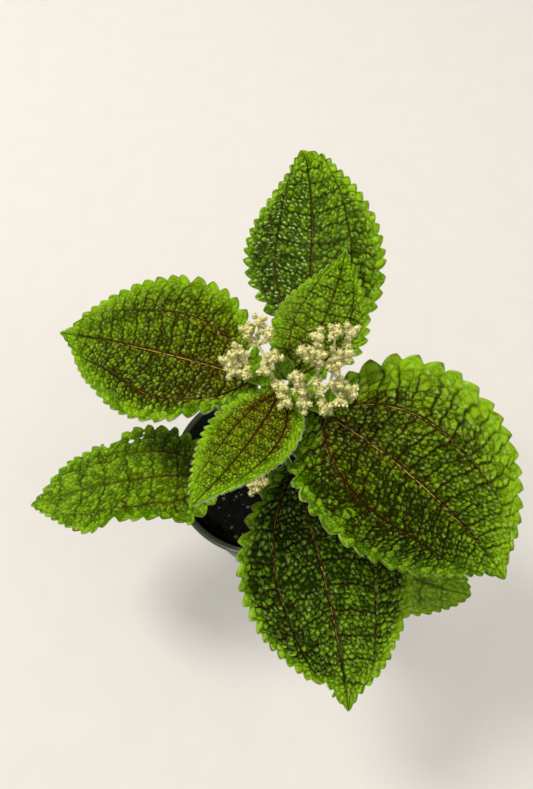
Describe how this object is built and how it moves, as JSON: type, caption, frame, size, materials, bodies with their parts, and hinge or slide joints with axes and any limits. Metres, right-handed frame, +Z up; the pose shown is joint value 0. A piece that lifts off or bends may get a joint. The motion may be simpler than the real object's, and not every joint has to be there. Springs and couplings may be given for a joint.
{
  "type": "potted moon valley pilea",
  "caption": "Small houseplant in a tapered nursery pot, with crossed pairs of quilted, toothed leaves on one stem and sprays of tiny cream flowers.",
  "frame": {"origin": "middle of the underside of the pot's flat floor, where the pot stands", "axes": "+Z up through the pot's axis; +X to the right and -Y towards the viewer of the pictured side"},
  "size_m": [0.2144, 0.2239, 0.1831],
  "materials": {
    "pot_plastic": "thin dark green-black moulded nursery plastic, satin",
    "potting_mix": "dark crumbly peat mix with pale perlite grains",
    "stem": "pale green, fleshy, finely haired",
    "leaf": "glossy quilted green leaf with maroon-brown sunken veins and a lime margin",
    "flower": "matt cream-yellow buds on pale green stalks"
  },
  "bodies": {
    "root": {"pot": "pot_plastic", "potting_mix": "potting_mix", "stem": "stem", "leaf_crown_back": "leaf", "leaf_crown_front": "leaf", "leaf_left": "leaf", "leaf_right": "leaf", "leaf_back": "leaf", "leaf_front": "leaf", "leaf_low_left": "leaf", "leaf_low_right": "leaf", "spray_left": "flower", "spray_right": "flower", "spray_low_left": "flower", "spray_low_right": "flower", "spray_low_front": "flower"}
  },
  "joints": []
}
